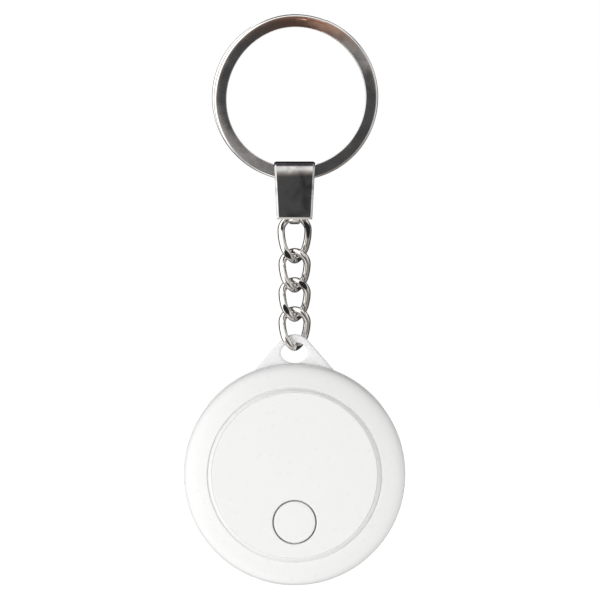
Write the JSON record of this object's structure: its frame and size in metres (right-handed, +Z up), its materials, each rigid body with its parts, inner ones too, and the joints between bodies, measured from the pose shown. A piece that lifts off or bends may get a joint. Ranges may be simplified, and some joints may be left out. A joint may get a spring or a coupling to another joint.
{
  "type": "bluetooth tracker tag",
  "caption": "Round white key tracker tag with a press button and a twist-off battery door, hung from a split ring by a folded metal strap and a short curb chain.",
  "frame": {"origin": "the point inside the top of the split ring that rests on a hook or a key's eye, between the ring's two turns", "axes": "+Z up along the hanging line, +X to the right seen from the button side, -Y out of the button side"},
  "size_m": [0.04, 0.009, 0.103],
  "materials": {
    "ring_nickel": "polished nickel, finely scratched",
    "strap_nickel": "mirror-polished nickel",
    "chain_nickel": "polished nickel with filed flats",
    "shell_white": "satin moulded white",
    "lug_white": "satin moulded white, slightly translucent where thin",
    "button_white": "satin moulded white",
    "door_white": "fine spark-eroded texture",
    "silicone_grey": "matte",
    "frame_black": "matte",
    "can_steel": "plated tin",
    "contact_nickel": "nickel-plated spring steel",
    "cell_steel": "plated can",
    "screw_steel": "zinc plated",
    "board_green": "solder resist",
    "chip_black": "moulded epoxy",
    "ceramic_cream": "fired, unglazed",
    "capacitor_tan": "fired",
    "sounder_brass": "rolled"
  },
  "bodies": {
    "ring": {"split_ring": "ring_nickel"},
    "strap": {"ring_strap": "strap_nickel"},
    "link_1": {"chain_link_1": "chain_nickel"},
    "link_2": {"chain_link_2": "chain_nickel"},
    "link_3": {"chain_link_3": "chain_nickel"},
    "link_4": {"chain_link_4": "chain_nickel"},
    "tag": {"front_shell": "shell_white", "rear_shell": "lug_white", "shell_gasket": "silicone_grey", "button_switch": "can_steel", "circuit_board": "board_green", "radio_chip": "chip_black", "radio_crystal": "can_steel", "chip_antenna": "ceramic_cream", "flash_chip": "chip_black", "power_inductor": "chip_black", "capacitor_1": "capacitor_tan", "capacitor_2": "capacitor_tan", "capacitor_3": "capacitor_tan", "capacitor_4": "capacitor_tan", "negative_contact": "contact_nickel", "positive_contact": "contact_nickel", "battery_cell": "cell_steel", "battery_tray": "frame_black", "tray_screw_1": "screw_steel", "tray_screw_2": "screw_steel", "sounder_plate": "sounder_brass", "sounder_ceramic": "ceramic_cream"},
    "button": {"button_cap": "button_white", "switch_plunger": "frame_black"},
    "door": {"battery_door": "door_white", "door_seal": "silicone_grey"}
  },
  "joints": [
    {"name": "strap_swing", "type": "hinge", "parent": "ring", "child": "strap", "pos_m": [0, 0, -0.02675], "axis": [1, 0, 0], "range_deg": [-75, 75]},
    {"name": "link_1_swing", "type": "hinge", "parent": "strap", "child": "link_1", "pos_m": [0, 0, -0.0367], "axis": [0, 1, 0], "range_deg": [-22, 22]},
    {"name": "link_2_swing", "type": "hinge", "parent": "link_1", "child": "link_2", "pos_m": [0, 0, -0.04132], "axis": [1, 0, 0], "range_deg": [-28, 28]},
    {"name": "link_3_swing", "type": "hinge", "parent": "link_2", "child": "link_3", "pos_m": [0, 0, -0.04657], "axis": [0, 1, 0], "range_deg": [-28, 28]},
    {"name": "link_4_swing", "type": "hinge", "parent": "link_3", "child": "link_4", "pos_m": [0, 0, -0.05182], "axis": [1, 0, 0], "range_deg": [-28, 28]},
    {"name": "tag_swing", "type": "hinge", "parent": "link_4", "child": "tag", "pos_m": [0, 0, -0.05881], "axis": [0, 1, 0], "range_deg": [-28, 28]},
    {"name": "button_press", "type": "slide", "parent": "tag", "child": "button", "axis": [0, 1, 0], "range_m": [0, 0.0002], "stiffness_N_per_m": 6000},
    {"name": "door_turn", "type": "hinge", "parent": "tag", "child": "door", "pos_m": [0, 0, -0.08066], "axis": [0, 1, 0], "range_deg": [0, 30]}
  ]
}
